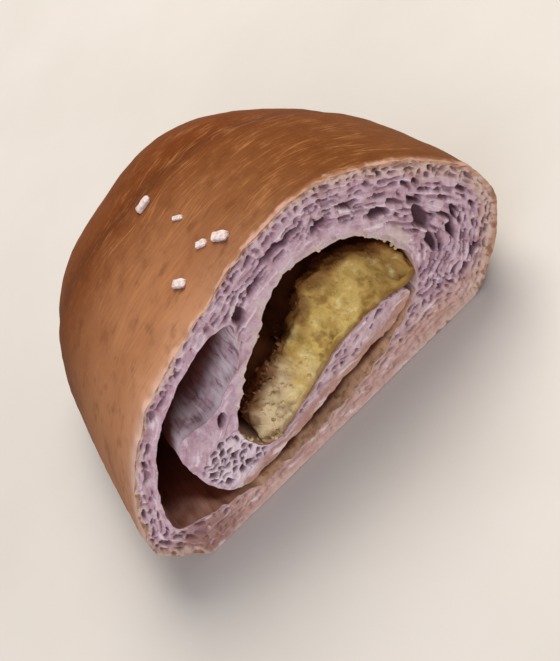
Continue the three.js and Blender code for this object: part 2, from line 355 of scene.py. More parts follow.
def layered_noise(points, size, seed, octaves=3):
    """Soft noise with ever smaller and lower noise added to it."""
    size = np.asarray(size, float)
    return sum(soft_noise(points, size / 2**i, seed + i) / 2**i for i in range(octaves))


def relief(points, kind, seed, octaves=3):
    """Random heights of one kind of relief, given as a height and a size."""
    height, size = kind
    return height * layered_noise(points, size, seed, octaves)


def ease(value, low, high):
    """0 below low, 1 above high, and a soft rise between."""
    share = np.clip((value - low) / (high - low), 0, 1)
    return share * share * (3 - 2 * share)


def under(value, bound):
    """1 well under a limit, and a soft fall to 0 at it: the bound is the limit and the width of the fall."""
    limit, fade = bound
    return ease(limit - value, 0.0, fade)


def in_corner(points, corner):
    """1 in the lower left corner of the cut and 0 away from it, from bounds to the left and upwards."""
    left, up = corner
    return ease(-points[:, 0], *left) * under(points[:, 1], up)


def smooth_outline(outline, spacing):
    """Evenly spaced points on a smooth closed curve through an outline."""
    knots = np.array(outline, float)
    share = np.linspace(0, 1, CURVE_STEPS, endpoint=False)[:, None]
    before, start, end, after = (np.roll(knots, shift, axis=0)[:, None] for shift in (1, 0, -1, -2))
    cubic = 3 * (start - end) + after - before
    square = 2 * before - 5 * start + 4 * end - after
    curve = start + 0.5 * share * (end - before + share * (square + share * cubic))
    return even_steps(curve.reshape(-1, 2), spacing)


def even_steps(loop, spacing):
    """Evenly spaced points along a closed loop of points."""
    closed = np.vstack([loop, loop[:1]])
    length = np.concatenate([[0], np.cumsum(np.linalg.norm(np.diff(closed, axis=0), axis=1))])
    places = np.linspace(0, length[-1], round(length[-1] / spacing), endpoint=False)
    return np.stack([np.interp(places, length, closed[:, axis]) for axis in (0, 1)], axis=1)


def outline_normals(loop):
    """Unit vectors that point out of a closed anticlockwise loop."""
    along = np.roll(loop, -1, axis=0) - np.roll(loop, 1, axis=0)
    out = np.stack([along[:, 1], -along[:, 0]], axis=1)
    return out / np.linalg.norm(out, axis=1, keepdims=True)


def taper(shape, share):
    """How much of the roll's size is left at a share of its length: all at the cut, nothing at the tip."""
    bend, roundness = shape
    return np.maximum(0, 1 - share**bend) ** roundness


def carry_back(section, behind):
    """Carries points of the cut back along the roll, which narrows, sinks and bends towards its tip."""
    share = np.clip(np.asarray(behind, float) / HALF_LENGTH, 0, 1)
    x, z = section[..., 0], section[..., 1]
    rise = np.where(z < TIP_HEIGHT, taper(UNDERSIDE_TAPER, share), taper(TOP_TAPER, share))
    across = TIP_BEND * share**2 + x * taper(WIDTH_TAPER, share)
    return np.stack([across, CUT_Y + behind + 0 * x, TIP_HEIGHT + (z - TIP_HEIGHT) * rise], axis=-1)


def past_step(x, behind):
    """How far a place on the crust is behind the layer's edge."""
    place, slant, _ = LAYER_STEP
    return behind - (place + slant * x)


def step_depth(x, behind):
    """How far the layer's edge pulls the crust in."""
    past = past_step(x, behind)
    fall = ease(past, -STEP_WIDTH / 2, STEP_WIDTH / 2) * np.exp(-np.maximum(0, past) / STEP_FADE)
    return LAYER_STEP[2] * fall


def crust_points(section, behind):
    """Points of the crust, with the layer's step pulled in and the underside flattened."""
    points = carry_back(section, behind)
    share = np.asarray(behind, float) / HALF_LENGTH
    level = 0 * points[..., 0]
    middle = np.stack([TIP_BEND * share**2 + level, points[..., 1], TIP_HEIGHT + level], axis=-1)
    reach = np.maximum(LEAST_REACH, np.linalg.norm(points - middle, axis=-1))
    points = middle + (points - middle) * (1 - step_depth(points[..., 0], behind) / reach)[..., None]
    points[..., 2] = np.maximum(0, points[..., 2])
    return points


def grid_normals(grid):
    """Outward unit normals of a grid of rings that run round the roll."""
    around = np.roll(grid, -1, axis=1) - np.roll(grid, 1, axis=1)
    along = np.gradient(grid, axis=0)
    normal = np.cross(along, around)
    return normal / np.maximum(1e-9, np.linalg.norm(normal, axis=-1, keepdims=True))


def ring_faces(rows, count):
    """Triangles between rings of points, facing outwards for anticlockwise rings that run back."""
    row, column = np.meshgrid(np.arange(rows - 1), np.arange(count), indexing="ij")
    front = (row * count + column).ravel()
    front_next = (row * count + (column + 1) % count).ravel()
    first = np.stack([front, front_next + count, front_next], axis=1)
    second = np.stack([front, front + count, front_next + count], axis=1)
    return np.vstack([first, second])


def inside(points, loop):
    """Whether each point lies inside a closed loop."""
    result = np.zeros(len(points), bool)
    for (ax, az), (bx, bz) in zip(loop, np.roll(loop, -1, axis=0)):
        if az != bz:
            crosses = (az > points[:, 1]) != (bz > points[:, 1])
            result ^= crosses & (points[:, 0] < (bx - ax) * (points[:, 1] - az) / (bz - az) + ax)
    return result


def in_space(points):
    """Flat points with a third coordinate of 0; points in space stay as they are."""
    return points if points.shape[1] == 3 else np.column_stack([points, np.zeros(len(points))])


def tree_of(points):
    """A search tree of points."""
    tree = KDTree(len(points))
    for index, point in enumerate(in_space(points).tolist()):
        tree.insert(point, index)
    tree.balance()
    return tree


def nearest(points, targets):
    """Which target is nearest to each point, and how far it is."""
    tree = tree_of(targets)
    found = [tree.find(point) for point in in_space(points).tolist()]
    return np.array([index for _, index, _ in found]), np.array([distance for _, _, distance in found])


def span(outline, first, last):
    """Marks the points of an outline from the one nearest to a first place to the one nearest to a last."""
    ends = nearest(np.array([first, last], float), outline)[0]
    index = np.arange(len(outline))
    return (index >= ends[0]) & (index <= ends[1])


def smoothed(values, reach):
    """Each value on a closed loop as the mean of its neighbours, some places each way."""
    return np.mean([np.roll(values, shift) for shift in range(-reach, reach + 1)], axis=0)


def in_face(points, outer, holes):
    """Whether each point lies inside a loop and outside its holes."""
    result = inside(points, outer)
    for hole in holes:
        result &= ~inside(points, hole)
    return result


def inner_points(outer, holes, spacing, seed):
    """Loosely even points inside a loop and outside its holes, clear of their edges."""
    random = np.random.default_rng(seed)
    low, high = outer.min(axis=0), outer.max(axis=0)
    x, z = np.meshgrid(np.arange(low[0], high[0], spacing), np.arange(low[1], high[1], spacing * ROW_SHARE))
    x = x + 0.5 * spacing * (np.arange(len(x)) % 2)[:, None]
    inner = np.stack([x.ravel(), z.ravel()], axis=1)
    inner += spacing * POINT_JITTER * random.uniform(-1, 1, inner.shape)
    inner = inner[in_face(inner, outer, holes)]
    return inner[nearest(inner, np.vstack([outer, *holes]))[1] > EDGE_CLEARANCE * spacing]


def filled_face(outer, holes, spacing, seed):
    """Points and anticlockwise triangles that fill a loop apart from its holes, the loops' points first."""
    edges = []
    start = 0
    for loop in (outer, *holes):
        index = start + np.arange(len(loop))
        edges += np.stack([index, np.roll(index, -1)], axis=1).tolist()
        start += len(loop)
    points = np.vstack([outer, *holes, inner_points(outer, holes, spacing, seed)])
    _, _, faces, origin, _, _ = delaunay_2d_cdt([Vector(p) for p in points], edges, [], 0, TINY)
    origin = np.array([found[0] if found else -1 for found in origin])
    triangles = origin[np.array(faces)]
    wanted = in_face(points[triangles].mean(axis=1), outer, holes) & (triangles >= 0).all(axis=1)
    triangles = triangles[wanted]
    a, b, c = (points[triangles[:, corner]] for corner in range(3))
    clockwise = np.cross(b - a, c - a) < 0
    triangles[clockwise] = triangles[clockwise][:, ::-1]
    return points, triangles


def on_cut(section, behind=0.0):
    """Points of the cut face, in the part's frame."""
    return np.stack([section[:, 0], CUT_Y + behind + 0 * section[:, 0], section[:, 1]], axis=1)


def joined(parts):
    """One mesh from parts with points, faces, a slot and named values: points in one place become one."""
    starts = np.cumsum([0] + [len(part["points"]) for part in parts[:-1]])
    points = np.vstack([part["points"] for part in parts])
    faces = np.vstack([part["faces"] + start for part, start in zip(parts, starts)])
    slots = np.concatenate([np.full(len(part["faces"]), part["slot"]) for part in parts])
    _, first, place = np.unique(np.round(points, 4), axis=0, return_index=True, return_inverse=True)
    place = place.reshape(-1)
    values = {}
    for name in sorted({name for part in parts for name in part["values"]}):
        given = [part["values"].get(name, np.full(len(part["points"]), -np.inf)) for part in parts]
        merged = np.full(len(first), -np.inf)
        np.maximum.at(merged, place, np.concatenate(given))
        values[name] = np.where(np.isinf(merged), 0.0, merged)
    faces = place[faces]
    whole = (faces[:, 0] != faces[:, 1]) & (faces[:, 1] != faces[:, 2]) & (faces[:, 2] != faces[:, 0])
    return points[first], faces[whole], slots[whole], values


def make_piece(name, parts, materials):
    """A smooth-shaded object in the part's frame, with named values for its materials."""
    points, faces, slots, values = joined(parts)
    mesh = bpy.data.meshes.new(name)
    mesh.from_pydata((points * MM).tolist(), [], faces.tolist())
    mesh.polygons.foreach_set("use_smooth", np.ones(len(faces), bool))
    mesh.polygons.foreach_set("material_index", slots.astype(np.int32))
    for material in materials:
        mesh.materials.append(material)
    for value_name, value in values.items():
        layer = mesh.attributes.new(value_name, "FLOAT", "POINT")
        layer.data.foreach_set("value", value.astype(np.float32))
    mesh.update()
    piece = bpy.data.objects.new(name, mesh)
    bpy.context.scene.collection.objects.link(piece)
    return piece


def crust_relief(points, around, behind):
    """Height of the crust's swells, dimples and fine streaks that run round the roll."""
    streak_space = np.stack([around, behind, 0 * around], axis=1)
    swells = relief(points, CRUST_SWELLS, 11, 2)
    dimples = relief(points, CRUST_DIMPLES, 21, 2)
    streaks = relief(streak_space, CRUST_STREAKS, 31, 1)
    return swells + dimples + streaks


def crust_edge():
    """The crust's outline, and the same with the slightly uneven edge that the knife leaves."""
    outline = smooth_outline(CRUST_OUTLINE, CRUST_SPACING)
    flat = in_space(outline)
    uneven = relief(flat, CRUST_EDGE_WAVES, 13) + relief(flat, CRUST_EDGE_NICKS, 15, 2)
    uneven *= ease(outline[:, 1], *EDGE_RISE)
    return outline, outline + outline_normals(outline) * uneven[:, None]


def crust_part():
    """The browned skin from the cut's edge to the tip."""
    outline, edge = crust_edge()
    count = len(outline)
    turn = 0.5 * math.pi * np.linspace(0, 1, CRUST_ROWS, endpoint=False) ** CRUST_GROWTH
    behind = HALF_LENGTH * np.sin(turn)
    kept = 1 - ease(behind, 0.0, EDGE_REACH)
    grid = np.stack([crust_points(outline + (edge - outline) * k, b) for k, b in zip(kept, behind)])
    normals = grid_normals(grid).reshape(-1, 3)
    points = grid.reshape(-1, 3)
    around = np.tile(np.arange(count) * CRUST_SPACING, CRUST_ROWS)
    depth = np.repeat(behind, count)
    shown = ease(depth, 0.0, RELIEF_BEHIND) * ease(points[:, 2], 0.0, RELIEF_ABOVE)
    moved = points + normals * (shown * crust_relief(points, around, depth))[:, None]
    moved[:, 2] = np.maximum(0, moved[:, 2])
    tip = np.array([[TIP_BEND, CUT_Y + HALF_LENGTH, TIP_HEIGHT]])
    last = (CRUST_ROWS - 1) * count + np.arange(count)
    cap = np.stack([last, np.full(count, len(moved)), np.roll(last, -1)], axis=1)
    # Painted shadow along the layer's step, where the crust is pulled in
    groove = np.exp(-((past_step(points[:, 0], depth) / STEP_SHADOW_WIDTH) ** 2))
    values = {
        "around": np.append(around, 0.0),
        "behind": np.append(depth, HALF_LENGTH),
        "groove": np.append(groove, 0.0),
    }
    faces = np.vstack([ring_faces(CRUST_ROWS, count), cap])
    return {"points": np.vstack([moved, tip]), "faces": faces, "slot": CRUST, "values": values}


def hollow_lip():
    """The hollow's outline on the cut, and the same slightly torn, in some stretches more than in others."""
    outline = smooth_outline(HOLLOW_OUTLINE, HOLLOW_SPACING)
    stretches = [span(outline, *part) for part in TORN_MOST]
    torn = np.select(stretches, list(TORN_MOST.values()), TORN)
    torn = torn * layered_noise(in_space(outline), TEAR_SIZE, 41)
    return outline, outline + outline_normals(outline) * torn[:, None]


def shoulder(outline):
    """How far behind the cut each point of the hollow's lip lies."""
    marked = span(outline, *CURTAIN_EDGE).astype(float)
    return SHOULDER[0] * smoothed(marked, SHOULDER_SOFTNESS)


def gap_across(loop):
    """How far it is from each point of a hollow's outline straight across to its other side."""
    inward = -outline_normals(loop)[:, None]
    step = (np.roll(loop, -1, axis=0) - loop)[None]
    offset = loop[None] - loop[:, None]
    slant = np.cross(inward, step)
    slant = np.where(abs(slant) < TINY, TINY, slant)
    away = np.cross(offset, step) / slant
    share = np.cross(offset, inward) / slant
    hit = (away > LEAST_GAP) & (share >= 0) & (share <= 1)
    gap = np.clip(np.where(hit, away, np.inf).min(axis=1), *LIT_GAP)
    return smoothed(gap, GAP_SOFTNESS)


def hollow_rings(outline, lip, start, behind):
    """The hollow's outline carried back from its torn lip, with soft folds that run inwards and bubbles."""
    normals = outline_normals(outline)
    around = np.arange(len(outline)) * HOLLOW_SPACING
    rings = [on_cut(lip, start)]
    for place in behind[1:]:
        space = np.stack([around, place, np.zeros(len(outline))], axis=1)
        folds = relief(space, WALL_FOLDS, 51, 2)
        bubbles = relief(carry_back(outline, place), WALL_BUBBLES, 61, 2)
        raised = (folds + bubbles) * ease(place - start, 0.0, FOLDS_FULL)
        torn = (lip - outline) * (1 - ease(place - start, 0.0, TEARS_GONE))[:, None]
        rings.append(carry_back(outline + torn + normals * raised[:, None], place))
    return rings


def hollow_values(outline, start, behind):
    """What the material of the hollow's walls has to know about each of their points."""
    x, z = outline.T
    across, up = outline_normals(outline).T
    corner = in_corner(outline, WALL_CORNER)
    kinds = {
        # Painted shade on roofs: the walls at the top left of a hollow, which face down
        "roof": ease(ROOF_FACING[1] * up + ROOF_FACING[0] * across, *ROOF_SPAN),
        "soaked": under(z, WALL_SOAKED) * (1 - WALL_SOAKED_CORNER * corner),
        "stained": span(outline, *CAVITY).astype(float),
        "corner": corner,
        "around": np.arange(len(outline)) * HOLLOW_SPACING,
    }
    slit = span(outline, *BASE_LIP) * ease(x, *SLIT_SPAN)
    lit = gap_across(outline)
    for place, lost in ((corner, CORNER_DIM), (kinds["stained"], STAINED_DIM), (slit, SLIT_DIM)):
        lit = lit * (1 - lost * place)
    values = {name: np.tile(value, HOLLOW_STATIONS) for name, value in kinds.items()}
    values["behind"] = behind.ravel()
    # Painted light on the rounded edge, fading behind it
    values["folded"] = (start / SHOULDER[0] * (1 - ease(behind - start, 0.0, SHOULDER_LIGHT_GONE))).ravel()
    values["shade"] = ease(behind / lit - SHADE_SOAKED * kinds["soaked"], *SHADE_SPAN).ravel()
    return values


def hollow_part():
    """The walls between the turns of the roll, and their deep end."""
    outline, lip = hollow_lip()
    start = shoulder(outline)
    share = np.linspace(0, 1, HOLLOW_STATIONS) ** STATION_GROWTH
    behind = start + (HOLLOW_DEPTH - start) * share[:, None]
    rings = hollow_rings(outline, lip, start, behind)
    end_points, end_faces = filled_face(rings[-1][:, [0, 2]], [], HOLLOW_END_SPACING, 5)
    end = on_cut(end_points, HOLLOW_DEPTH)
    faces = ring_faces(HOLLOW_STATIONS, len(outline))[:, ::-1]
    values = hollow_values(outline, start, behind)
    walls = {"points": np.vstack(rings), "faces": faces, "slot": HOLLOW, "values": values}
    back = {"points": end, "faces": end_faces, "slot": HOLLOW, "values": {"shade": np.ones(len(end))}}
    return [walls, back]


def cells(points, seed):
    """Uneven cells one unit across: how far inside its cell each point is, and the cell's random draw."""
    random = np.random.default_rng(seed)
    low, high = np.floor(points.min(axis=0)) - 1, np.ceil(points.max(axis=0)) + 2
    u, v = np.meshgrid(np.arange(low[0], high[0]), np.arange(low[1], high[1]))
    seeds = np.column_stack([(u + 0.5 * (v % 2)).ravel(), v.ravel()])
    seeds += random.uniform(-CELL_JITTER, CELL_JITTER, seeds.shape)
    tree = tree_of(seeds)
    found = [tree.find_n(point, 2) for point in in_space(points).tolist()]
    inner = np.array([second[2] - first[2] for first, second in found])
    return inner, random.uniform(0, 1, len(seeds))[[first[1] for first, _ in found]]


def within(points, box):
    """Whether each point of the cut lies in a box."""
    (left, right), (low, high) = box["x"], box["z"]
    x, z = points.T
    return (x > left) & (x < right) & (z > low) & (z < high)


def pressed(places, ellipses):
    """How deep rounded hollows press each place in: centre, half sizes, tilt in degrees and depth of each."""
    tree = tree_of(places)
    depth = np.zeros(len(places))
    for u, v, long, wide, tilt, deep in ellipses:
        found = np.array([index for _, index, _ in tree.find_range((u, v, 0.0), max(long, wide))], int)
        turn = math.radians(tilt)
        offset = places[found] - (u, v)
        along = (offset[:, 0] * math.cos(turn) + offset[:, 1] * math.sin(turn)) / long
        aside = (offset[:, 1] * math.cos(turn) - offset[:, 0] * math.sin(turn)) / wide
        hollow = deep * np.maximum(0, 1 - along**2 - aside**2) ** PORE_ROUNDNESS
        depth[found] = np.maximum(depth[found], hollow)
    return depth


def layer_bubbles(length):
    """Long bubbles in pairs of rows that follow the crust, given along the crust and in from it."""
    random = np.random.default_rng(71)
    bubbles = []
    for number in range(ROW_COUNT):
        row = ROW_GAP * (number + FIRST_ROW) + PAIR_WALL * (number // 2)
        place = random.uniform(0, BUBBLE_LENGTH[1])
        while place < length:
            half = 0.5 * random.uniform(*BUBBLE_LENGTH)
            wide = 0.5 * ROW_GAP * random.uniform(*BUBBLE_WIDTH)
            aside = row + BUBBLE_STRAY * random.normal()
            deep = CELL_DEPTH * random.uniform(*BUBBLE_DEPTH)
            bubbles.append((place + half, aside, half, wide, BUBBLE_TILT * random.normal(), deep))
            place += 2 * half + random.uniform(*BUBBLE_WALL)
    return bubbles


def bowls(places, kind, seed):
    """Depth of rounded hollows in uneven cells of one kind: 0 on the walls and in the closed cells."""
    size, deep, closed = kind
    inner, draw = cells(places / size, seed)
    return deep * CELL_DEPTH * (ease(draw, closed, closed + CELL_OPENING) * ease(inner, *CELL_WALL))


def wandered(points, kind, seed):
    """Flat points shifted softly this way and that, by a distance that changes over a size."""
    distance, size = kind
    flat = in_space(points)
    shifts = [soft_noise(flat, size, seed + axis) for axis in (0, 1)]
    return points + distance * np.column_stack(shifts)


def core_share(points):
    """1 in the open core of the inner roll, falling to 0 round it."""
    centre, half = (np.array(pair) for pair in INNER_CORE)
    return under(np.linalg.norm((points - centre) / half, axis=1), CORE_EDGE)


def cell_depths(points, place, skin):
    """Depth of the crumb's open cells, from a place along and in from the crust and the skin's share."""
    place = place + wandered(points, ROW_WANDER, 73) - points
    long_bubbles = pressed(place, layer_bubbles(place[:, 0].max()))
    layers = np.maximum(long_bubbles, bowls(place, FINE_CELLS, 75))
    shifted = wandered(points, CELL_WANDER, 77)
    core = bowls(shifted, CORE_CELLS, 72) * core_share(points)
    tongue = bowls(shifted, TONGUE_CELLS, 76)
    depth = np.select([within(points, INNER_ROLL), within(points, TONGUE)], [core, tongue], layers)
    return depth * (1 - skin) * (BASE_CELLS + (1 - BASE_CELLS) * ease(points[:, 1], *BASE_RISE))


def rounded_edge(points, lip):
    """How far the cut face falls back towards the rounded part of the hollow's lip."""
    index, gap = nearest(points, lip)
    return shoulder(hollow_lip()[0])[index] * np.maximum(0, 1 - gap / SHOULDER[1]) ** 2


def cut_places(points, crust_loop, lip):
    """How far points of the cut are from the crust and from the hollow's lip, and what they are next to."""
    fine_crust, fine_lip = (even_steps(loop, LOOP_STEP) for loop in (crust_loop, lip))
    crust_index, rim = nearest(points, fine_crust)
    lip_index, lip_gap = nearest(points, fine_lip)
    on_arch, on_base, under_tongue = (
        span(fine_lip, *part)[lip_index] for part in (ARCH, BASE_LIP, TONGUE_UNDERSIDE)
    )
    return SimpleNamespace(
        rim=rim, lip_gap=lip_gap, reach=np.minimum(rim, lip_gap), along=crust_index * LOOP_STEP,
        crust_height=fine_crust[crust_index, 1],
        on_arch=on_arch, on_base=on_base, under_tongue=under_tongue,
    )


def cut_depth(points, near):
    """How deep the large pores and the open cells of the crumb are."""
    thick = np.select([near.on_arch, near.under_tongue], [ARCH_SKIN, TONGUE_SKIN], PLAIN_SKIN)
    skin = 1 - ease(near.lip_gap, thick, thick + SKIN_FADE) * ease(near.rim, *RIM_SKIN)
    pores = pressed(wandered(points, PORE_WANDER, 85), [(*pore, LARGE_PORE_DEPTH) for pore in LARGE_PORES])
    pits = cell_depths(points, np.column_stack([near.along, near.rim]), skin)
    return np.maximum(pores, pits) * ease(near.reach, 0.0, PIT_EDGE)


def cut_values(points, near, depth):
    """What the material of the crumb has to know about each point of the cut."""
    flat = in_space(points)
    x, z = points.T
    at_base = 1 - ease(near.crust_height, *CUT_BASE)
    at_right = ease(x, *CUT_RIGHT)
    ragged = layered_noise(flat, RAGGED_SIZE, 87, 2)
    patchy = layered_noise(flat, PATCHY_SIZE, 89, 2)
    centre, reach = SKIN_BULGE
    bulge = reach * under(np.linalg.norm(points - centre, axis=1), (reach, BULGE_FADE))
    skin = SHOWN_SKIN[0] - SHOWN_SKIN_BASE * near.on_base + SHOWN_SKIN_RAGS * ragged + bulge
    rim = near.rim + RIM_BASE * at_base + RIM_RAGS * ragged
    toasted = TOASTED[0] + TOASTED_PATCHES * patchy
    return {
        # Painted shade: the colour of a pore darkens with its depth
        "pore": np.clip(depth / CELL_DEPTH, 0, 1),
        "along": near.along,
        "inwards": near.rim,
        "rim": np.maximum(0, rim) / (1 + RIM_RIGHT * at_right),
        "toasted": at_right * under(near.rim, (toasted, TOASTED[1])),
        "skin": (near.on_arch | near.on_base) * under(near.lip_gap, (skin, SHOWN_SKIN[1])),
        "soaked": under(z, CUT_SOAKED),
        "browned": near.under_tongue * under(near.lip_gap, BROWNED),
        # Painted shade in the lower left corner of the cut
        "corner": in_corner(points, CUT_CORNER),
        "core": within(points, INNER_ROLL) * core_share(points),
        "tongue": within(points, TONGUE) * ease(x, *TONGUE_FADE),
    }


def cut_part():
    """The cut face of the crumb: open cells and pores, an uneven surface, and a butter-soaked base."""
    crust_loop = crust_points(crust_edge()[1], 0.0)[:, [0, 2]]
    lip = hollow_lip()[1]
    points, faces = filled_face(crust_loop, [lip], CUT_SPACING, 3)
    near = cut_places(points, crust_loop, lip)
    depth = cut_depth(points, near)
    flat = in_space(points)
    uneven = relief(flat, CUT_WAVES, 81, 1) + relief(flat, CUT_GRAIN, 83, 2)
    solid = on_cut(points)
    solid[:, 1] += depth + (uneven + CUT_SUNK) * ease(near.reach, 0.0, CUT_EDGE) + rounded_edge(points, lip)
    return {"points": solid, "faces": faces, "slot": CRUMB, "values": cut_values(points, near, depth)}


def filling_share(x, behind):
    """The share of its full height that the filling has at a place across the roll and behind the cut."""
    climbed = np.clip(behind / FILLING_CREST, 0, 1)
    rising = 1 - (1 - FILLING_FOOT) * (1 - climbed) ** FILLING_SWELL
    deep = FILLING_DEEP[0] + (FILLING_DEEP[1] - FILLING_DEEP[0]) * ease(x, *FILLING_DEEP_SPAN)
    falling = 1 + (deep - 1) * ease(behind, FILLING_CREST, FILLING_CREST + FILLING_FALL)
    return np.where(behind < FILLING_CREST, rising, falling)


def seat_height(x):
    """The height of the tongue of dough under the filling, at places across the roll."""
    outline = smooth_outline(FILLING_OUTLINE, FILLING_SPACING)
    seat = outline[span(outline, *FILLING_SEAT)]
    return np.interp(x, seat[:, 0], seat[:, 1])


def filling_ring(outline, behind):
    """The filling's outline at a place behind the cut: its free part sinks towards the tongue of dough."""
    x, z = outline.T
    floor = seat_height(x)
    wander = relief(in_space(outline), FILLING_WANDER, 97, 1)
    sunk = floor + (z - floor) * filling_share(x, np.maximum(FILLING_SETBACK, behind + wander))
    return carry_back(np.column_stack([x, np.where(z > floor, sunk, z)]), behind)


def lumpy(points, seed):
    """Uneven lumps of the filling, drawn out upwards at its creamy end."""
    upwards = 1 - CREAM_STRETCH * creamy(points)
    stretch = np.column_stack([np.ones(len(points)), np.ones(len(points)), upwards])
    return relief(points * stretch, FILLING_LUMPS, seed)


def filling_parts():
    """The crumbly filling: its walls and free surface, its front on the cut, and its deep end."""
    outline = smooth_outline(FILLING_OUTLINE, FILLING_SPACING)
    count = len(outline)
    stations = len(FILLING_STATIONS)
    grid = np.stack([filling_ring(outline, place) for place in FILLING_STATIONS])
    normals = grid_normals(grid).reshape(-1, 3)
    walls = grid.reshape(-1, 3)
    free = np.tile(ease(outline[:, 1] - seat_height(outline[:, 0]), *FREE_RISE), stations)
    walls = walls + normals * (lumpy(walls, 91) * free)[:, None]
    flat, front_faces = filled_face(walls[:count][:, [0, 2]], [], FILLING_SPACING, 4)
    front = on_cut(flat, FILLING_SETBACK)
    front[:, 1] += np.maximum(0, FRONT_SUNK + FRONT_LUMPS * lumpy(front, 93))
    front[:count] = walls[:count]
    end_flat, end_faces = filled_face(walls[-count:][:, [0, 2]], [], FILLING_END_SPACING, 6)
    end = on_cut(end_flat, FILLING_STATIONS[-1])
    end[:count] = walls[-count:]
    fresh = ease(GRANULE_END[0] - walls[:, 1] + CUT_Y, 0.0, GRANULE_END[1])
    seat_gap = nearest(flat, outline[span(outline, *FILLING_SEAT)])[1]
    whole = (
        (walls, ring_faces(stations, count), free * fresh),
        (front, front_faces, FRONT_GRANULES * ease(seat_gap, *SEAT_CLEARANCE)),
        (end, end_faces[:, ::-1], np.zeros(len(end))),
    )
    return [filling_part(*values) for values in whole]


def filling_part(points, faces, crumbly):
    """A part of the filling's mesh, with what its material and its granules have to know."""
    cream = creamy(points)
    behind = points[:, 1] - CUT_Y + relief(points, BEHIND_WANDER, 99, 1)
    above = points[:, 2] - seat_height(points[:, 0]) + relief(points, ABOVE_WANDER, 98, 1)
    foot = FOOT_SHADE * under(above, FOOT_HEIGHT)
    depth = sum(share * ease(behind, low, high) for share, low, high in DEPTH_SHADES)
    further_in = LEAST_GRANULES + (1 - LEAST_GRANULES) * ease(behind, *GRANULE_RISE)
    values = {
        "crumbly": crumbly * (1 - CREAM_LACK * cream) * further_in,
        "shredded": crumbly * cream,
        "cream": cream,
        "shade": np.maximum(foot, depth),
        "tone": np.full(len(points), 0.5),
    }
    return {"points": points, "faces": faces, "slot": 0, "values": values}


def creamy(points):
    """Where the filling is paler and smoother: its thin end at the left."""
    return ease(-points[:, 0] + relief(points, CREAM_WANDER, 95, 2), *CREAM_SPAN)


def seat_on_crust(x, behind):
    """The crust's highest point at a place across the roll and behind the cut, and its outward direction."""
    outline = smooth_outline(CRUST_OUTLINE, SALT_SEAT_SPACING)
    outline = outline[outline[:, 1] > TIP_HEIGHT]
    ring = crust_points(outline, behind)
    index = int(np.argmin(abs(ring[:, 0] - x)))
    along = crust_points(outline, behind + SALT_SEAT_STEP)[index] - ring[index]
    around = ring[index + 1] - ring[index - 1]
    normal = np.cross(along, around)
    return ring[index], normal / np.linalg.norm(normal)


def add(tree, kind, inputs=None, **settings):
    """Adds one node: its settings, and its sockets as values or as links from other nodes' sockets."""
    node = tree.nodes.new(kind)
    for name, value in settings.items():
        setattr(node, name, value)
    for socket, value in (inputs or {}).items():
        if isinstance(value, bpy.types.NodeSocket):
            tree.links.new(value, node.inputs[socket])
        else:
            node.inputs[socket].default_value = value
    return node


def paint(code):
    """A linear colour from an sRGB hex value."""
    channels = [int(code[i : i + 2], 16) / 255 for i in (1, 3, 5)]
    return (*[c / 12.92 if c <= 0.04045 else ((c + 0.055) / 1.055) ** 2.4 for c in channels], 1.0)


def new_material(name, values=(), noises=None):
    """A material with sockets for the piece's named values and for noises of given sizes in millimetres."""
    material = bpy.data.materials.new(name)
    material.use_nodes = True
    tree = material.node_tree
    given = {value: add(tree, "ShaderNodeAttribute", attribute_name=value).outputs["Fac"] for value in values}
    place = add(tree, "ShaderNodeTexCoord").outputs["Object"]
    for label, size in (noises or {}).items():
        inputs = {"Vector": place, "Scale": 1 / (size * MM), "Detail": 4.0, "Roughness": 0.55}
        given[label] = add(tree, "ShaderNodeTexNoise", inputs).outputs["Fac"]
    return material, tree, given


def layered(tree, base, layers):
    """A base colour with others laid over it, each where a value runs between two bounds, up to a share."""
    colour = paint(base)
    for code, value, empty, full, share in layers:
        rise = {0: value, 1: empty, 2: full, 4: share}
        amount = add(tree, "ShaderNodeMapRange", rise, interpolation_type="SMOOTHSTEP").outputs[0]
        mixed = {0: amount, 6: colour, 7: paint(code)}
        colour = add(tree, "ShaderNodeMix", mixed, data_type="RGBA").outputs[2]
    return colour


def finish(tree, colour, height, depth, constants):
    """Gives the shader its colour, a fine relief of a depth in millimetres, and its constants."""
    shader = tree.nodes["Principled BSDF"]
    raised = {"Height": height, "Distance": depth * MM, "Strength": 0.6}
    tree.links.new(add(tree, "ShaderNodeBump", raised).outputs["Normal"], shader.inputs["Normal"])
    tree.links.new(colour, shader.inputs["Base Color"])
    for name, value in constants.items():
        shader.inputs[name].default_value = value


def soft_inside(weight, radius):
    """Constants for light that goes a little way into a soft, pale food."""
    return {"Subsurface Weight": weight, "Subsurface Radius": radius, "Subsurface Scale": 0.8 * MM}


def streaked(tree, across, along, width, stretch, swirl=0.0, slant=0.0):
    """Streaks of a width in millimetres across one value, drawn out along another, bent and slanted."""
    place = add(tree, "ShaderNodeCombineXYZ", {0: across, 1: along}).outputs[0]
    drawn = {"Vector": place, "Rotation": (0.0, 0.0, slant), "Scale": (width, width * stretch, 1.0)}
    drawn_out = add(tree, "ShaderNodeMapping", drawn, vector_type="TEXTURE").outputs[0]
    inputs = {"Vector": drawn_out, "Scale": 1.0, "Detail": 3.0, "Distortion": swirl}
    return add(tree, "ShaderNodeTexNoise", inputs).outputs["Fac"]


def placed_along(tree, axis):
    """The place along one of the part's axes, in metres."""
    place = add(tree, "ShaderNodeTexCoord").outputs["Object"]
    return add(tree, "ShaderNodeSeparateXYZ", {0: place}).outputs[axis]


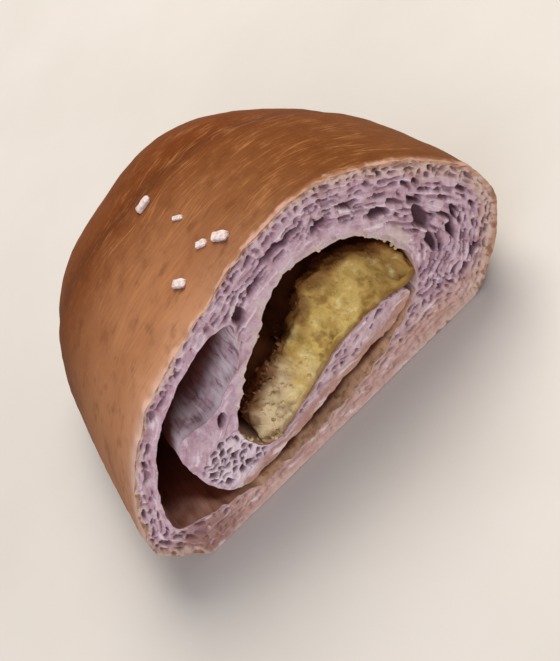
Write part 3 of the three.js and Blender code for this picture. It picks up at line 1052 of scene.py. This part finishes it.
def crust_material():
    """Baked crust brushed with butter: paler by the cut, browner to the tip, faint streaks round the roll,
    partly painted sheen on top, and a painted shadow along the layer's step.
    """
    values = ("around", "behind", "groove")
    noises = {"mottle": 14.0, "wrinkle": 3.5, "speckle": 0.9, "fleck": 3.0}
    material, tree, given = new_material("baked_crust", values, noises)
    side = placed_along(tree, "X")
    one_way, other_way = (
        streaked(tree, given["behind"], given["around"], width=0.6, stretch=18.0, swirl=0.5, slant=slant)
        for slant in (0.16, -0.16)
    )
    streaks = add(tree, "ShaderNodeMath", {0: one_way, 1: other_way}, operation="MAXIMUM").outputs[0]
    patchy = {0: given["wrinkle"], 1: 0.5, 2: streaks}
    patches = add(tree, "ShaderNodeMath", patchy, operation="MULTIPLY_ADD").outputs[0]
    # Streaks are brighter on top: partly the crust's own streaks, partly painted sheen
    on_top = add(tree, "ShaderNodeMapRange", {0: placed_along(tree, "Z"), 1: 10 * MM, 2: 34 * MM}).outputs[0]
    streaks_and_sheen_on_top = add(tree, "ShaderNodeMath", {0: patches, 1: on_top}, operation="MULTIPLY").outputs[0]
    near_cut = add(tree, "ShaderNodeMapRange", {0: given["behind"], 1: 4.5, 2: 0.0}).outputs[0]
    flecks = add(tree, "ShaderNodeMath", {0: given["fleck"], 1: near_cut}, operation="MULTIPLY").outputs[0]
    at_left = add(tree, "ShaderNodeMapRange", {0: side, 1: -8 * MM, 2: -32 * MM}).outputs[0]
    pale_left = add(tree, "ShaderNodeMath", {0: at_left, 1: near_cut}, operation="MULTIPLY").outputs[0]
    colour = layered(tree, "#bb8a69", (
        ("#a5724f", given["behind"], 0.0, 13.0, 1.0),
        ("#663814", side, -22 * MM, 28 * MM, 0.95),
        ("#663312", given["behind"], 16.0, 46.0, 0.88),
        ("#6b3610", given["mottle"], 0.5, 0.75, 0.3),
        # painted shadow along the layer's step
        ("#4e240a", given["groove"], 0.0, 1.0, 0.55),
        ("#5c2c0e", given["wrinkle"], 0.5, 0.25, 0.3),
        ("#ba8252", streaks_and_sheen_on_top, 0.8, 1.05, 0.4),
        ("#b07848", patches, 0.8, 1.1, 0.16),
        ("#5f2f10", patches, 0.82, 0.55, 0.25),
        ("#b07848", given["speckle"], 0.55, 0.75, 0.15),
        ("#b48a70", given["behind"], 2.0, 0.0, 0.4),
        ("#d0ab9a", flecks, 0.32, 0.52, 0.6),
        ("#d2b0a0", pale_left, 0.1, 0.9, 0.8),
    ))
    warm = {"Roughness": 0.6, "Specular IOR Level": 0.03, "Specular Tint": paint("#f0c090")}
    finish(tree, colour, streaks, depth=0.2, constants=warm)
    return material


def crumb_material():
    """Torn bread crumb: pale, matt and soft, with pores darkened by painted shade, painted shade in the lower
    left corner, and a thin pale edge where the crust is cut.
    """
    values = (
        "rim", "toasted", "soaked", "browned", "skin", "pore", "corner", "core", "tongue", "along", "inwards"
    )
    noises = {"mottle": 2.2, "fleck": 1.4, "fine": 0.45}
    material, tree, given = new_material("bread_crumb", values, noises)
    strands = streaked(tree, given["inwards"], given["along"], width=0.8, stretch=7.0)
    at_rim = add(tree, "ShaderNodeMapRange", {0: given["rim"], 1: 1.8, 2: 0.4}).outputs[0]
    flecks = add(tree, "ShaderNodeMath", {0: given["fleck"], 1: at_rim}, operation="MULTIPLY").outputs[0]
    colour = layered(tree, "#d9bfc8", (
        ("#c09aa5", given["mottle"], 0.35, 0.68, 1.0),
        ("#a37c88", given["fine"], 0.52, 0.74, 0.3),
        ("#d6ae99", given["soaked"], 0.0, 1.0, 0.8),
        ("#dec4b8", given["tongue"], 0.0, 1.0, 0.25),
        ("#b98a6a", given["browned"], 0.0, 1.0, 0.75),
        ("#f6e8ec", given["core"], 0.0, 1.0, 0.7),
        # painted shade in the lower left corner of the cut
        ("#a07468", given["corner"], 0.0, 1.0, 0.85),
        ("#f8ecee", strands, 0.54, 0.68, 0.6),
        ("#9a7078", strands, 0.45, 0.3, 0.5),
        ("#d4c0b6", given["skin"], 0.0, 1.0, 0.7),
        ("#b07c58", given["toasted"], 0.0, 1.0, 0.55),
        ("#e0c6b4", given["rim"], 1.7, 0.6, 0.75),
        ("#b0805f", given["rim"], 0.5, 0.05, 0.7),
        ("#8a5838", flecks, 0.48, 0.62, 0.7),
        # painted shade in the pores, darker the deeper they are
        ("#94707c", given["pore"], 0.08, 0.5, 0.85),
        ("#4c2a33", given["pore"], 0.5, 1.0, 0.82),
    ))
    matt = {"Roughness": 0.85, **soft_inside(weight=0.12, radius=(1.0, 0.55, 0.45))}
    finish(tree, colour, given["fine"], depth=0.3, constants=matt)
    return material


def hollow_material():
    """Stretched dough skin inside the roll: pale strands at the cut with painted light on the rounded edge,
    buttery below, a red-brown left corner that is partly painted shade, and painted shade on roofs and
    further in.
    """
    values = ("shade", "roof", "soaked", "stained", "corner", "folded", "around", "behind")
    material, tree, given = new_material("inner_dough_skin", values, {"mottle": 3.0, "blotch": 1.5})
    strands = streaked(tree, given["around"], given["behind"], width=0.9, stretch=6.0, swirl=0.7)
    below = {0: given["blotch"], 1: given["soaked"]}
    blotches = add(tree, "ShaderNodeMath", below, operation="MULTIPLY").outputs[0]
    colour = layered(tree, "#f4e0e6", (
        ("#d6b4c0", given["mottle"], 0.35, 0.7, 1.0),
        ("#7c5868", strands, 0.48, 0.34, 0.7),
        ("#fff6f8", strands, 0.52, 0.64, 0.85),
        # painted light on the rounded edge
        ("#fff2f6", given["folded"], 0.0, 0.8, 0.75),
        # painted shade on roofs
        ("#8a5f55", given["roof"], 0.0, 1.0, 0.8),
        ("#e4b88a", given["soaked"], 0.0, 1.0, 0.9),
        ("#8a6238", blotches, 0.48, 0.66, 0.5),
        # the left corner: partly butter, partly painted shade
        ("#96462a", given["corner"], 0.1, 0.9, 0.65),
        ("#c8a088", given["stained"], 0.0, 1.0, 0.85),
        ("#a0705a", given["mottle"], 0.55, 0.7, 0.35),
        # painted shade further into the hollows
        ("#6e2c16", given["shade"], 0.0, 1.0, 0.95),
    ))
    buttery = {"Roughness": 0.65, **soft_inside(weight=0.1, radius=(1.0, 0.5, 0.4))}
    finish(tree, colour, strands, depth=0.25, constants=buttery)
    return material


def filling_material():
    """Sweet yellow paste that crumbles: moist grains from pale to brown, a paler creamy end, and painted
    shade at its foot, towards the right wall and behind the cut.
    """
    values = ("cream", "shade", "tone")
    noises = {"mottle": 5.0, "blotch": 2.4, "fine": 0.5}
    material, tree, given = new_material("crumbly_filling", values, noises)
    side = placed_along(tree, "X")
    at_left = add(tree, "ShaderNodeMapRange", {0: side, 1: 6 * MM, 2: -6 * MM}).outputs[0]
    left_gap = add(tree, "ShaderNodeMath", {0: at_left, 1: given["shade"]}, operation="MULTIPLY").outputs[0]
    colour = layered(tree, "#d8b966", (
        ("#e6cd80", given["tone"], 0.3, 1.0, 0.9),
        ("#a8803c", given["mottle"], 0.5, 0.7, 0.6),
        # painted shade: darker and browner towards the cavity's right wall
        ("#8c6430", side, 10 * MM, 24 * MM, 0.7),
        ("#e6d2ac", given["cream"], 0.0, 1.0, 0.8),
        ("#86622a", given["blotch"], 0.52, 0.7, 0.7),
        ("#f4e6aa", given["blotch"], 0.47, 0.3, 0.6),
        ("#9c7836", given["fine"], 0.5, 0.75, 0.3),
        ("#74451a", given["shade"], 0.0, 0.75, 0.85),
        ("#54260e", given["shade"], 0.7, 1.0, 0.9),
        # the painted shade in the gap at the left is lighter and browner
        ("#b87448", left_gap, 0.6, 1.0, 0.85),
    ))
    moist = {"Roughness": 0.7, "Specular IOR Level": 0.2}
    finish(tree, colour, given["fine"], depth=0.2, constants=moist)
    return material


def salt_material():
    """Coarse salt: cloudy white crystals with a slight shine."""
    material, tree, given = new_material("coarse_salt", (), {"cloud": 0.8})
    colour = layered(tree, "#e6dcda", (("#c8b2aa", given["cloud"], 0.35, 0.7, 1.0),))
    clear = {"Roughness": 0.3, "IOR": 1.54, **soft_inside(weight=0.5, radius=(1.0, 0.95, 0.9))}
    finish(tree, colour, given["cloud"], depth=0.15, constants=clear)
    return material


def floor_material():
    """Pale matt board under the roll."""
    material, tree, given = new_material("pale_board", (), {"cloud": 60.0})
    colour = layered(tree, "#cdcac5", (("#c7c4be", given["cloud"], 0.3, 0.7, 1.0),))
    finish(tree, colour, given["cloud"], depth=0.1, constants={"Roughness": 0.6})
    return material


def with_inputs(name, inputs):
    """An empty geometry tree with a geometry socket each way and named inputs."""
    tree = bpy.data.node_groups.new(name, "GeometryNodeTree")
    tree.interface.new_socket("Geometry", in_out="INPUT", socket_type="NodeSocketGeometry")
    tree.interface.new_socket("Geometry", in_out="OUTPUT", socket_type="NodeSocketGeometry")
    for label, (kind, value) in inputs.items():
        socket = tree.interface.new_socket(label, in_out="INPUT", socket_type=kind)
        socket.default_value = value
    return tree, add(tree, "NodeGroupInput").outputs, add(tree, "NodeGroupOutput").inputs


def grown(name, carrier_mesh, tree, settings):
    """The plain mesh that a geometry tree makes from a carrier mesh, as an object of its own."""
    carrier = bpy.data.objects.new(name + "_carrier", carrier_mesh)
    bpy.context.scene.collection.objects.link(carrier)
    modifier = carrier.modifiers.new("grow", "NODES")
    modifier.node_group = tree
    for item in tree.interface.items_tree:
        if item.in_out == "INPUT" and item.name in settings:
            modifier[item.identifier] = settings[item.name]
    bpy.context.view_layer.update()
    evaluated = carrier.evaluated_get(bpy.context.evaluated_depsgraph_get())
    mesh = bpy.data.meshes.new_from_object(evaluated)
    carrier.modifiers.remove(modifier)
    bpy.data.objects.remove(carrier)
    mesh.name = name
    piece = bpy.data.objects.new(name, mesh)
    bpy.context.scene.collection.objects.link(piece)
    return piece


def instanced(tree, points, shape, turn, size, material):
    """Real copies of a shape on points, each with its own turn and size, in a material."""
    turned = add(tree, "FunctionNodeEulerToRotation", {0: turn}).outputs[0]
    places = {"Points": points, "Instance": shape, "Rotation": turned, "Scale": size}
    placed = add(tree, "GeometryNodeInstanceOnPoints", places).outputs[0]
    real = add(tree, "GeometryNodeRealizeInstances", {0: placed}).outputs[0]
    return add(tree, "GeometryNodeSetMaterial", {"Geometry": real, "Material": material}).outputs[0]


def worn(tree, mesh, coarseness, amount, rounding=0.0):
    """A shape one unit across with its surface made uneven and its far corners pulled in."""
    place = add(tree, "GeometryNodeInputPosition").outputs[0]
    drawn = {"Vector": place, "Scale": coarseness, "Detail": 2.0}
    noise = add(tree, "ShaderNodeTexNoise", drawn).outputs["Color"]
    middle = (0.5, 0.5, 0.5)
    centred = add(tree, "ShaderNodeVectorMath", {0: noise, 1: middle}, operation="SUBTRACT").outputs[0]
    shift = add(tree, "ShaderNodeVectorMath", {0: centred, "Scale": amount}, operation="SCALE").outputs[0]
    length = add(tree, "ShaderNodeVectorMath", {0: place}, operation="LENGTH").outputs["Value"]
    pull = add(tree, "ShaderNodeMath", {0: length, 1: -rounding}, operation="MULTIPLY").outputs[0]
    inward = add(tree, "ShaderNodeVectorMath", {0: place, "Scale": pull}, operation="SCALE").outputs[0]
    offset = add(tree, "ShaderNodeVectorMath", {0: shift, 1: inward}, operation="ADD").outputs[0]
    return add(tree, "GeometryNodeSetPosition", {"Geometry": mesh, "Offset": offset}).outputs[0]


def crystal_tree(material):
    """Puts a worn, blocky crystal of its own size and turn on every point."""
    tree, given, result = with_inputs("salt_crystals", {"Material": ("NodeSocketMaterial", material)})
    sides = {f"Vertices {axis}": 5 for axis in "XYZ"}
    block = add(tree, "GeometryNodeMeshCube", {"Size": (1.0, 1.0, 1.0), **sides}).outputs["Mesh"]
    made = on_own_points(tree, given, worn(tree, block, coarseness=1.5, amount=0.4, rounding=0.36))
    tree.links.new(made, result["Geometry"])
    return tree


def on_own_points(tree, given, shape):
    """Copies of a shape on a mesh's points, with the size and turn that each point carries."""
    points = add(tree, "GeometryNodeMeshToPoints", {"Mesh": given["Geometry"]}).outputs[0]
    turn, size = (
        add(tree, "GeometryNodeInputNamedAttribute", {"Name": name}, data_type="FLOAT_VECTOR").outputs[0]
        for name in ("turn", "size")
    )
    return instanced(tree, points, shape, turn, size, given["Material"])


def lump(tree):
    """An uneven granule one unit in radius."""
    ball = add(tree, "GeometryNodeMeshIcoSphere", {"Radius": 1.0, "Subdivisions": 2}).outputs["Mesh"]
    soft = add(tree, "GeometryNodeSetShadeSmooth", {"Geometry": ball}).outputs[0]
    return worn(tree, soft, coarseness=1.1, amount=0.45)


def crumb_tree(material):
    """Puts an uneven crumb of its own size and turn on every point."""
    tree, given, result = with_inputs("torn_crumbs", {"Material": ("NodeSocketMaterial", material)})
    tree.links.new(on_own_points(tree, given, lump(tree)), result["Geometry"])
    return tree


def granule_tree(material):
    """Scatters uneven granules, each of its own tone, over the faces that a named value marks."""
    inputs = {
        "Where": ("NodeSocketString", "crumbly"),
        "Density": ("NodeSocketFloat", 1.0e6),
        "Least": ("NodeSocketVector", (0.2 * MM,) * 3),
        "Most": ("NodeSocketVector", (0.5 * MM,) * 3),
        "Sunk": ("NodeSocketFloat", 0.15 * MM),
        "Tilt": ("NodeSocketVector", (math.pi,) * 3),
        "Back tilt": ("NodeSocketVector", (-math.pi,) * 3),
        "Seed": ("NodeSocketInt", 3),
        "Material": ("NodeSocketMaterial", material),
    }
    tree, given, result = with_inputs("filling_granules", inputs)
    where = add(tree, "GeometryNodeInputNamedAttribute", {"Name": given["Where"]}).outputs[0]
    density = add(tree, "ShaderNodeMath", {0: where, 1: given["Density"]}, operation="MULTIPLY").outputs[0]
    spread = {"Mesh": given["Geometry"], "Density": density, "Seed": given["Seed"]}
    points = add(tree, "GeometryNodeDistributePointsOnFaces", spread).outputs
    depth = add(tree, "ShaderNodeMath", {0: given["Sunk"], 1: -1.0}, operation="MULTIPLY").outputs[0]
    sunk = {0: points["Normal"], "Scale": depth}
    inward = add(tree, "ShaderNodeVectorMath", sunk, operation="SCALE").outputs[0]
    seated = add(tree, "GeometryNodeSetPosition", {"Geometry": points["Points"], "Offset": inward}).outputs[0]
    tone = add(tree, "FunctionNodeRandomValue", {"Seed": 5}, data_type="FLOAT").outputs[1]
    toned = add(tree, "GeometryNodeStoreNamedAttribute", {"Geometry": seated, "Name": "tone", "Value": tone})
    sizes = {0: given["Least"], 1: given["Most"], "Seed": 7}
    turns = {0: given["Back tilt"], 1: given["Tilt"], "Seed": 11}
    size, turn = (
        add(tree, "FunctionNodeRandomValue", drawn, data_type="FLOAT_VECTOR") for drawn in (sizes, turns)
    )
    made = instanced(tree, toned.outputs[0], lump(tree), turn.outputs[0], size.outputs[0], given["Material"])
    tree.links.new(made, result["Geometry"])
    return tree


def point_mesh(name, points, vectors, values):
    """Loose points in the part's frame with named vectors and values."""
    mesh = bpy.data.meshes.new(name)
    mesh.from_pydata((np.asarray(points) * MM).tolist(), [], [])
    for key, value in vectors.items():
        layer = mesh.attributes.new(key, "FLOAT_VECTOR", "POINT")
        layer.data.foreach_set("vector", np.asarray(value, np.float32).ravel())
    for key, value in values.items():
        layer = mesh.attributes.new(key, "FLOAT", "POINT")
        layer.data.foreach_set("value", np.asarray(value, np.float32))
    return mesh


def granule_pieces(filling, material):
    """Loose granules on the filling's front and crest, and upright shreds at its creamy end."""
    tree = granule_tree(material)
    granules = {
        "Where": "crumbly", "Density": 1.2e6, "Seed": 3, "Sunk": 0.2 * MM,
        "Least": (0.12 * MM,) * 3, "Most": (0.45 * MM,) * 3,
    }
    shreds = {
        "Where": "shredded", "Density": 0.6e6, "Seed": 4, "Sunk": 0.25 * MM,
        "Least": (0.2 * MM, 0.2 * MM, 0.4 * MM), "Most": (0.5 * MM, 0.5 * MM, 1.3 * MM),
        "Tilt": (1.1,) * 3, "Back tilt": (-1.1,) * 3,
    }
    return [
        grown(name, filling.data.copy(), tree, {**settings, "Material": material})
        for name, settings in (("filling_granules", granules), ("filling_shreds", shreds))
    ]


def fringe_piece(name, part, crumbs, material):
    """Crumbs of filling that cling to a part of the hollow's lip: how many, and the largest's radius."""
    count, largest = crumbs
    random = np.random.default_rng(29)
    outline, lip = hollow_lip()
    chosen = random.choice(np.flatnonzero(span(outline, *part)), count)
    places = on_cut(lip[chosen], CRUMB_BEHIND)
    places += random.normal(0, CRUMB_SPREAD, places.shape)
    places += np.outer(random.uniform(0, CRUMB_REACH, count), (0, 1, 0))
    places[:, 1] = np.maximum(places[:, 1], CUT_Y + CRUMB_LEAST_BEHIND)
    size = random.uniform(LEAST_CRUMB, largest, (count, 3)) * MM
    vectors = {"size": size, "turn": random.uniform(0, 2 * math.pi, (count, 3))}
    values = {value: random.uniform(*CRUMB_TONES, count) for value in ("tone", "cream")}
    values["shade"] = CRUMB_SHADE * random.uniform(0.0, 1.0, count)
    mesh = point_mesh(name + "_places", places, vectors, values)
    return grown(name, mesh, crumb_tree(material), {"Material": material})


def salt_piece():
    """The coarse salt, each grain sunk a little into the crust."""
    places, turns = [], []
    for x, behind, size, turn in SALT_GRAINS:
        seat, normal = seat_on_crust(x, behind)
        places.append(seat + normal * size[2] * SALT_SUNK)
        across = Vector((math.cos(math.radians(turn)), math.sin(math.radians(turn)), 0.0))
        up = Vector(normal)
        long = (across - up * across.dot(up)).normalized()
        turns.append(tuple(Matrix((long, up.cross(long), up)).transposed().to_euler()))
    sizes = np.array([size for _, _, size, _ in SALT_GRAINS]) * MM
    mesh = point_mesh("salt_places", places, {"size": sizes, "turn": turns}, {})
    material = salt_material()
    return grown("salt_grains", mesh, crystal_tree(material), {"Material": material})


def camera():
    """Looks at the roll from the photograph's side, turned as the photograph shows it."""
    azimuth, elevation, roll = (math.radians(a) for a in (VIEW_AZIMUTH, VIEW_ELEVATION, VIEW_ROLL))
    back = Vector((
        math.sin(azimuth) * math.cos(elevation), -math.cos(azimuth) * math.cos(elevation), math.sin(elevation)
    ))
    level = Vector((math.cos(azimuth), math.sin(azimuth), 0.0))
    down = (-back).cross(level)
    right = level * math.cos(roll) + down * math.sin(roll)
    up = back.cross(right)
    data = bpy.data.cameras.new("camera")
    data.lens = LENS
    data.sensor_width = 36.0
    data.clip_start = 0.01
    seen_from = bpy.data.objects.new("camera", data)
    turn = Matrix((right, up, back)).transposed().to_4x4()
    place = (Vector(AIM) + back * VIEW_DISTANCE) * MM
    seen_from.matrix_world = Matrix.Translation(place) @ turn
    bpy.context.scene.collection.objects.link(seen_from)
    bpy.context.scene.camera = seen_from


def soft_light(name, place, size, power, colour):
    """A square soft light that looks at the origin."""
    data = bpy.data.lights.new(name, "AREA")
    data.size = size
    data.energy = power
    data.color = paint(colour)[:3]
    light = bpy.data.objects.new(name, data)
    light.location = place
    light.rotation_euler = (-Vector(place)).to_track_quat("-Z", "Y").to_euler()
    bpy.context.scene.collection.objects.link(light)


def studio():
    """A pale floor, a large soft light above, a fill in front, and a dim even surround."""
    bpy.ops.mesh.primitive_plane_add(size=FLOOR_SIZE, location=(0.0, 0.0, -FLOOR_DROP))
    floor = bpy.context.object
    floor.name = "floor"
    floor.data.materials.append(floor_material())
    soft_light("window", *WINDOW)
    soft_light("front_fill", *FRONT_FILL)
    colour, strength = SURROUND
    world = bpy.data.worlds.new("surround")
    world.use_nodes = True
    background = world.node_tree.nodes["Background"].inputs
    background["Color"].default_value = paint(colour)
    background["Strength"].default_value = strength
    bpy.context.scene.world = world
    bpy.context.scene.view_settings.view_transform = "Standard"


def place_on_root(piece, slot, *nodes):
    """Puts a finished piece on the one body in place of the solids that it replaces; the slot is not used."""
    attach(piece, "root")
    if nodes:
        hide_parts(*nodes)


camera()
studio()
dough_parts = [crust_part(), cut_part(), *hollow_part()]
dough = make_piece("dough_skin", dough_parts, [crust_material(), crumb_material(), hollow_material()])
paste = filling_material()
filling = make_piece("filling_mass", filling_parts(), [paste])
loose = [
    *granule_pieces(filling, paste),
    fringe_piece("fringe_crumbs", ARCH, FRINGE_CRUMBS, paste),
    fringe_piece("end_crumbs", CAVITY_END, END_CRUMBS, paste),
]
salt = salt_piece()
place_on_root(dough, "crust", "dough")
place_on_root(filling, "filling", "filling")
for piece in loose:
    place_on_root(piece, "filling")
place_on_root(salt, "crust")
